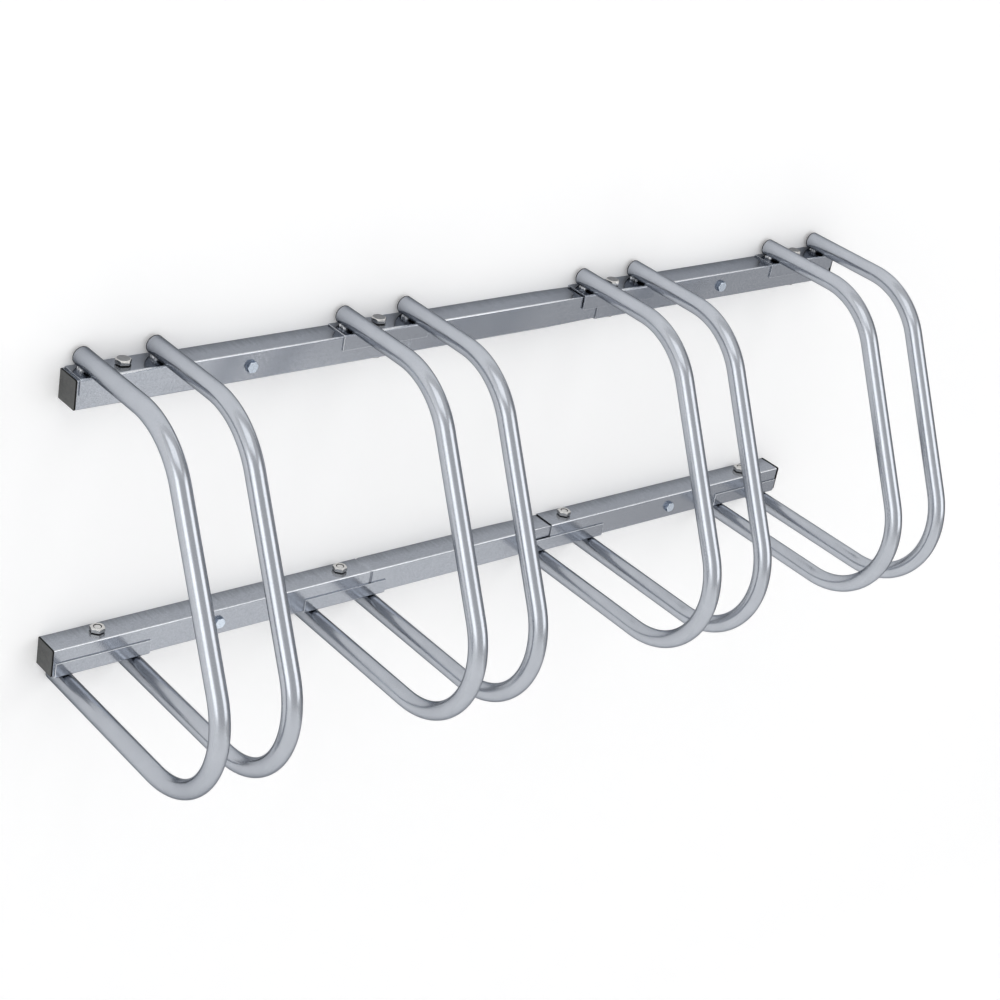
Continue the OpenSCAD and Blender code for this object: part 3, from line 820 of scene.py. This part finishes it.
def makeWeldTree():
    tree = makeTree(
        "weldBead", "GeometryNodeTree",
        [("Runs", "NodeSocketGeometry", None),
         ("Radius", "NodeSocketFloat", 0.0026),
         ("Rings", "NodeSocketInt", 40),
         ("Ring Sides", "NodeSocketInt", 14),
         ("Lumps", "NodeSocketFloat", 3.0),
         ("Lump Scale", "NodeSocketFloat", 330.0),
         ("Lump Share", "NodeSocketFloat", 0.9),
         ("Thinnest", "NodeSocketFloat", 0.5),
         ("Valley", "NodeSocketFloat", 0.2),
         ("Rough Scale", "NodeSocketFloat", 900.0),
         ("Roughness", "NodeSocketFloat", 0.0008),
         ("Wander", "NodeSocketFloat", 0.001),
         ("End Share", "NodeSocketFloat", 0.1),
         ("Seed", "NodeSocketFloat", 4.0),
         ("Finish", "NodeSocketMaterial", None)],
        [("Beads", "NodeSocketGeometry")])
    start = tree.nodes.new("NodeGroupInput")
    end = tree.nodes.new("NodeGroupOutput")
    line = tree.nodes.new("GeometryNodeMeshToCurve")
    even = tree.nodes.new("GeometryNodeResampleCurve")
    here = tree.nodes.new("GeometryNodeInputPosition")
    sway = addNode(tree, "ShaderNodeTexNoise", {"noise_dimensions": "4D"}, {"Detail": 1.0})
    swayCentred = addNode(tree, "ShaderNodeVectorMath", {"operation": "SUBTRACT"}, {1: (0.5, 0.5, 0.5)})
    swayScaled = addNode(tree, "ShaderNodeVectorMath", {"operation": "SCALE"})
    moved = tree.nodes.new("GeometryNodeSetPosition")
    lumps = addNode(tree, "ShaderNodeTexNoise", {"noise_dimensions": "4D"}, {"Detail": 1.5})
    lumpRange = addNode(tree, "ShaderNodeMapRange", None, {"From Min": 0.3, "From Max": 0.7})
    widest = tree.nodes.new("ShaderNodeMath")
    along = tree.nodes.new("GeometryNodeSplineParameter")
    back = addNode(tree, "ShaderNodeMath", {"operation": "SUBTRACT"}, {0: 1.0})
    nearest = addNode(tree, "ShaderNodeMath", {"operation": "MINIMUM"})
    endFade = addNode(tree, "ShaderNodeMapRange", None, {"To Min": 0.02})
    rounded = addNode(tree, "ShaderNodeMath", {"operation": "POWER"}, {1: 0.5})
    size = addNode(tree, "ShaderNodeMath", {"operation": "MULTIPLY"})
    turns = addNode(tree, "ShaderNodeMath", {"operation": "MULTIPLY"}, {1: math.pi})
    phase = addNode(tree, "ShaderNodeMath", {"operation": "MULTIPLY"})
    wave = addNode(tree, "ShaderNodeMath", {"operation": "SINE"})
    swell = addNode(tree, "ShaderNodeMath", {"operation": "ABSOLUTE"})
    rippled = tree.nodes.new("ShaderNodeMapRange")
    ripples = addNode(tree, "ShaderNodeMath", {"operation": "MULTIPLY"})
    ring = addNode(tree, "GeometryNodeCurvePrimitiveCircle")
    sweep = addNode(tree, "GeometryNodeCurveToMesh", None, {"Fill Caps": True})
    rough = addNode(tree, "ShaderNodeTexNoise", {"noise_dimensions": "4D"}, {"Detail": 2.0})
    roughCentred = addNode(tree, "ShaderNodeMath", {"operation": "SUBTRACT"}, {1: 0.5})
    roughHeight = addNode(tree, "ShaderNodeMath", {"operation": "MULTIPLY"})
    outward = tree.nodes.new("GeometryNodeInputNormal")
    push = addNode(tree, "ShaderNodeVectorMath", {"operation": "SCALE"})
    pushed = tree.nodes.new("GeometryNodeSetPosition")
    smooth = addNode(tree, "GeometryNodeSetShadeSmooth", None, {"Shade Smooth": True})
    real = tree.nodes.new("GeometryNodeRealizeInstances")
    finish = tree.nodes.new("GeometryNodeSetMaterial")
    join(tree,
         (start, "Runs", line, "Mesh"),
         (line, "Curve", even, "Curve"),
         (start, "Rings", even, "Count"),
         (here, "Position", sway, "Vector"),
         (start, "Lump Scale", sway, "Scale"),
         (start, "Seed", sway, "W"),
         (sway, "Color", swayCentred, 0),
         (swayCentred, "Vector", swayScaled, 0),
         (start, "Wander", swayScaled, "Scale"),
         (even, "Curve", moved, "Geometry"),
         (swayScaled, "Vector", moved, "Offset"),
         (here, "Position", lumps, "Vector"),
         (start, "Lump Scale", lumps, "Scale"),
         (start, "Seed", lumps, "W"),
         (lumps, "Fac", lumpRange, "Value"),
         (start, "Thinnest", lumpRange, "To Min"),
         (start, "Thinnest", widest, 0),
         (start, "Lump Share", widest, 1),
         (widest, "Value", lumpRange, "To Max"),
         (along, "Factor", back, 1),
         (along, "Factor", nearest, 0),
         (back, "Value", nearest, 1),
         (nearest, "Value", endFade, "Value"),
         (start, "End Share", endFade, "From Max"),
         (endFade, "Result", rounded, 0),
         (start, "Lumps", turns, 0),
         (turns, "Value", phase, 0),
         (along, "Factor", phase, 1),
         (phase, "Value", wave, 0),
         (wave, "Value", swell, 0),
         (swell, "Value", rippled, "Value"),
         (start, "Valley", rippled, "To Min"),
         (lumpRange, "Result", ripples, 0),
         (rippled, "Result", ripples, 1),
         (ripples, "Value", size, 0),
         (rounded, "Value", size, 1),
         (start, "Ring Sides", ring, "Resolution"),
         (start, "Radius", ring, "Radius"),
         (moved, "Geometry", sweep, "Curve"),
         (ring, "Curve", sweep, "Profile Curve"),
         (size, "Value", sweep, "Scale"),
         (here, "Position", rough, "Vector"),
         (start, "Rough Scale", rough, "Scale"),
         (start, "Seed", rough, "W"),
         (rough, "Fac", roughCentred, 0),
         (roughCentred, "Value", roughHeight, 0),
         (start, "Roughness", roughHeight, 1),
         (outward, "Normal", push, 0),
         (roughHeight, "Value", push, "Scale"),
         (sweep, "Mesh", pushed, "Geometry"),
         (push, "Vector", pushed, "Offset"),
         (pushed, "Geometry", smooth, "Geometry"),
         (smooth, "Geometry", real, "Geometry"),
         (real, "Geometry", finish, "Geometry"),
         (start, "Finish", finish, "Material"),
         (finish, "Geometry", end, "Beads"))
    return tree


def makeWelds(tree, level, sizes):
    low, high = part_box(f"{level}_weld_beads")
    z = low.z + sizes["rise"] if level == "upper" else high.z - sizes["rise"]
    runs = []
    for x, *rest in hoopEnds():
        for side in (-1, 1):
            runs.append((x + side * sizes["fromTube"], high.y, z))
            runs.append((x + side * sizes["fromTube"], low.y + sizes["frontGap"], z))
    pairs = [(first, first + 1) for first in range(0, len(runs), 2)]
    thing = makePoints(f"weld_runs_{level}", runs, pairs)
    treeInputs(tree, thing, {
        "Radius": sizes["radius"], "Rings": sizes["rings"], "Ring Sides": sizes["ringSides"],
        "Lumps": sizes["lumps"], "Lump Scale": sizes["lumpScale"], "Lump Share": sizes["lumpShare"],
        "Thinnest": sizes["thinnest"], "Valley": sizes["valley"], "Rough Scale": sizes["roughScale"],
        "Roughness": sizes["roughness"], "Wander": sizes["wander"],
        "End Share": sizes["endShare"], "Seed": sizes["seed"], "Finish": weldSteel})
    declare(settle(thing, [weldSteel]), [f"{level}_weld_beads"])


weldTree = makeWeldTree()
for level in levels:
    makeWelds(weldTree, level, weldRun)
print("weld beads laid")


# hoops: one bent tube for each, along a line whose corners are rounded
hoopTube = {
    "legInset": 0.009,
    "tubeRadius": 0.00899,
    "wall": 0.0015,
    "upperReach": 0.147,
    "lowerReach": 0.323,
    "upperBend": 0.080,
    "lowerBend": 0.085,
    "roundSides": 56,
    "bendSteps": 30,
    "endRounding": (0.00035, 2),
    "roundAbove": 60.0,
}


def makeHoopTree():
    tree = makeTree(
        "bentTube", "GeometryNodeTree",
        [("Line", "NodeSocketGeometry", None),
         ("Tube Radius", "NodeSocketFloat", 0.009),
         ("Upper Bend", "NodeSocketFloat", 0.08),
         ("Lower Bend", "NodeSocketFloat", 0.085),
         ("Bend Steps", "NodeSocketInt", 24),
         ("Round Sides", "NodeSocketInt", 48),
         ("Finish", "NodeSocketMaterial", None)],
        [("Tube", "NodeSocketGeometry")])
    start = tree.nodes.new("NodeGroupInput")
    end = tree.nodes.new("NodeGroupOutput")
    line = tree.nodes.new("GeometryNodeMeshToCurve")
    index = tree.nodes.new("GeometryNodeInputIndex")
    isUpper = addNode(tree, "FunctionNodeCompare", {"data_type": "INT", "operation": "EQUAL"}, {"B": 1})
    bend = addNode(tree, "GeometryNodeSwitch", {"input_type": "FLOAT"})
    fillet = addNode(tree, "GeometryNodeFilletCurve", {"mode": "POLY"})
    ring = tree.nodes.new("GeometryNodeCurvePrimitiveCircle")
    sweep = tree.nodes.new("GeometryNodeCurveToMesh")
    smooth = addNode(tree, "GeometryNodeSetShadeSmooth", None, {"Shade Smooth": True})
    real = tree.nodes.new("GeometryNodeRealizeInstances")
    finish = tree.nodes.new("GeometryNodeSetMaterial")
    join(tree,
         (start, "Line", line, "Mesh"),
         (line, "Curve", fillet, "Curve"),
         (index, "Index", isUpper, "A"),
         (isUpper, "Result", bend, "Switch"),
         (start, "Lower Bend", bend, "False"),
         (start, "Upper Bend", bend, "True"),
         (bend, "Output", fillet, "Radius"),
         (start, "Bend Steps", fillet, "Count"),
         (start, "Tube Radius", ring, "Radius"),
         (start, "Round Sides", ring, "Resolution"),
         (fillet, "Curve", sweep, "Curve"),
         (ring, "Curve", sweep, "Profile Curve"),
         (sweep, "Mesh", smooth, "Geometry"),
         (smooth, "Geometry", real, "Geometry"),
         (real, "Geometry", finish, "Geometry"),
         (start, "Finish", finish, "Material"),
         (finish, "Geometry", end, "Tube"))
    return tree


def makeHoop(tree, node, name, sizes, material):
    low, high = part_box(node)
    x = (low.x + high.x) / 2
    endY = high.y
    legZ = high.z - sizes["legInset"]
    corners = [(x, endY, legZ), (x, -sizes["upperReach"], legZ),
               (x, -sizes["lowerReach"], -legZ), (x, endY, -legZ)]
    thing = makePoints(name, corners, [(0, 1), (1, 2), (2, 3)])
    treeInputs(tree, thing, {
        "Tube Radius": sizes["tubeRadius"], "Upper Bend": sizes["upperBend"],
        "Lower Bend": sizes["lowerBend"], "Bend Steps": sizes["bendSteps"],
        "Round Sides": sizes["roundSides"], "Finish": material})
    wall = thing.modifiers.new("wall", "SOLIDIFY")
    wall.thickness = sizes["wall"]
    wall.offset = -1
    wall.use_even_offset = True
    rounding = thing.modifiers.new("cutEnds", "BEVEL")
    rounding.width, rounding.segments = sizes["endRounding"]
    rounding.limit_method = "ANGLE"
    rounding.angle_limit = math.radians(sizes["roundAbove"])
    return settle(thing, [material])


hoopTree = makeHoopTree()
for place in places:
    for side in sides:
        node = f"hoop_{place}_{side}"
        declare(makeHoop(hoopTree, node, f"bent_tube_{place}_{side}", hoopTube, hoopSteel),
                [node])
print("hoops bent:", len(places) * len(sides))


# stage: one pale sheet that is the wall, and turns into the floor further down
stageSheet = {
    "left": -3.4, "right": 1.9, "top": 2.4, "floor": -1.45, "turn": 0.5, "front": -7.0,
    "steps": 16, "colour": (0.93, 0.93, 0.93, 1), "lift": 0.122,
    "before": 0.0016,  # how far the sheet hangs in front of the wall plane, to free the rails' backs
}


def makeStage(sheet):
    profile = [(0.0, sheet["top"])]
    for i in range(sheet["steps"] + 1):
        angle = math.radians(90) * i / sheet["steps"]
        profile.append((-sheet["turn"] * (1 - math.cos(angle)),
                        sheet["floor"] + sheet["turn"] * (1 - math.sin(angle))))
    profile.append((sheet["front"], sheet["floor"]))
    points = [(x, y - sheet["before"], z) for y, z in profile for x in (sheet["left"], sheet["right"])]
    faces = [(2 * i, 2 * i + 2, 2 * i + 3, 2 * i + 1) for i in range(len(profile) - 1)]
    mesh = bpy.data.meshes.new("paleSheet")
    mesh.from_pydata(points, [], faces)
    mesh.shade_smooth()
    thing = linkObject("paleSheet", mesh)
    material = bpy.data.materials.new("paleSheet")
    material.use_nodes = True
    tree = material.node_tree
    tree.nodes.clear()
    paint = addNode(tree, "ShaderNodeBsdfDiffuse", None, {"Color": sheet["colour"]})
    glow = addNode(tree, "ShaderNodeEmission", None, {"Color": (1, 1, 1, 1)})
    rays = tree.nodes.new("ShaderNodeLightPath")
    seen = addNode(tree, "ShaderNodeMath", {"operation": "MAXIMUM"})
    through = addNode(tree, "ShaderNodeMath", {"operation": "MAXIMUM"})
    lift = addNode(tree, "ShaderNodeMath", {"operation": "MULTIPLY"}, {1: sheet["lift"]})
    together = tree.nodes.new("ShaderNodeAddShader")
    clear = tree.nodes.new("ShaderNodeBsdfTransparent")
    geometry = tree.nodes.new("ShaderNodeNewGeometry")
    choose = tree.nodes.new("ShaderNodeMixShader")
    end = tree.nodes.new("ShaderNodeOutputMaterial")
    join(tree,
         (rays, "Is Camera Ray", seen, 0),
         (rays, "Is Glossy Ray", seen, 1),
         (seen, "Value", through, 0),
         (rays, "Is Transmission Ray", through, 1),
         (through, "Value", lift, 0),
         (lift, "Value", glow, "Strength"),
         (paint, "BSDF", together, 0),
         (glow, "Emission", together, 1),
         (geometry, "Backfacing", choose, "Fac"),
         (together, "Shader", choose, 1),
         (clear, "BSDF", choose, 2),
         (choose, "Shader", end, "Surface"))
    mesh.materials.append(material)


makeStage(stageSheet)


# light: a soft surround, darker on the right, two tall boxes far off and a broad one overhead
surround = {
    "front": (0.64, 0.64, 0.645, 1), "left": (1.05, 1.05, 1.05, 1), "right": (0.36, 0.36, 0.365, 1),
    "overhead": (0.78, 0.78, 0.78, 1),
    "leftStarts": 0.42, "leftFull": 0.80, "rightStarts": 0.80, "rightFull": 0.97,
    "overheadStarts": 0.45, "overheadFull": 0.9,
}
lamps = {
    "leftBox": {"location": (-3.75, -2.05, 0.58), "size": (1.95, 2.6), "watts": 17.0},
    "rightBox": {"location": (2.52, -3.92, 0.95), "size": (2.8, 3.4), "watts": 38.0},
    "topBox": {"location": (-0.6, -1.3, 2.3), "size": (2.2, 1.4), "watts": 8.0},
}


def makeSurround(values):
    world = bpy.data.worlds.new("surround")
    bpy.context.scene.world = world
    world.use_nodes = True
    tree = world.node_tree
    tree.nodes.clear()
    place = tree.nodes.new("ShaderNodeTexCoord")
    parts = tree.nodes.new("ShaderNodeSeparateXYZ")
    leftward = addNode(tree, "ShaderNodeMath", {"operation": "MULTIPLY"}, {1: -1.0})
    toLeft = addNode(tree, "ShaderNodeMapRange", {"interpolation_type": "SMOOTHSTEP"},
                     {"From Min": values["leftStarts"], "From Max": values["leftFull"]})
    toRight = addNode(tree, "ShaderNodeMapRange", {"interpolation_type": "SMOOTHSTEP"},
                      {"From Min": values["rightStarts"], "From Max": values["rightFull"]})
    upward = addNode(tree, "ShaderNodeMapRange", {"interpolation_type": "SMOOTHSTEP"},
                     {"From Min": values["overheadStarts"], "From Max": values["overheadFull"]})
    withLeft = addNode(tree, "ShaderNodeMix", {"data_type": "RGBA"},
                       {6: values["front"], 7: values["left"]})
    withRight = addNode(tree, "ShaderNodeMix", {"data_type": "RGBA"}, {7: values["right"]})
    withTop = addNode(tree, "ShaderNodeMix", {"data_type": "RGBA"}, {7: values["overhead"]})
    background = tree.nodes.new("ShaderNodeBackground")
    end = tree.nodes.new("ShaderNodeOutputWorld")
    join(tree,
         (place, "Generated", parts, "Vector"),
         (parts, "X", leftward, 0),
         (leftward, "Value", toLeft, "Value"),
         (parts, "X", toRight, "Value"),
         (parts, "Z", upward, "Value"),
         (toLeft, "Result", withLeft, "Factor"),
         (withLeft, 2, withRight, 6),
         (toRight, "Result", withRight, "Factor"),
         (withRight, 2, withTop, 6),
         (upward, "Result", withTop, "Factor"),
         (withTop, 2, background, "Color"),
         (background, "Background", end, "Surface"))


def makeLamp(name, lamp):
    data = bpy.data.lights.new(name, "AREA")
    data.shape = "RECTANGLE"
    data.size, data.size_y = lamp["size"]
    data.energy = lamp["watts"]
    thing = bpy.data.objects.new(name, data)
    thing.location = lamp["location"]
    thing.rotation_mode = "QUATERNION"
    thing.rotation_quaternion = Vector(lamp["location"]).to_track_quat("Z", "Y")
    bpy.context.scene.collection.objects.link(thing)


makeSurround(surround)
for lampName, lamp in lamps.items():
    makeLamp(lampName, lamp)
bpy.context.scene.view_settings.view_transform = "Standard"
print("stage and lights set")
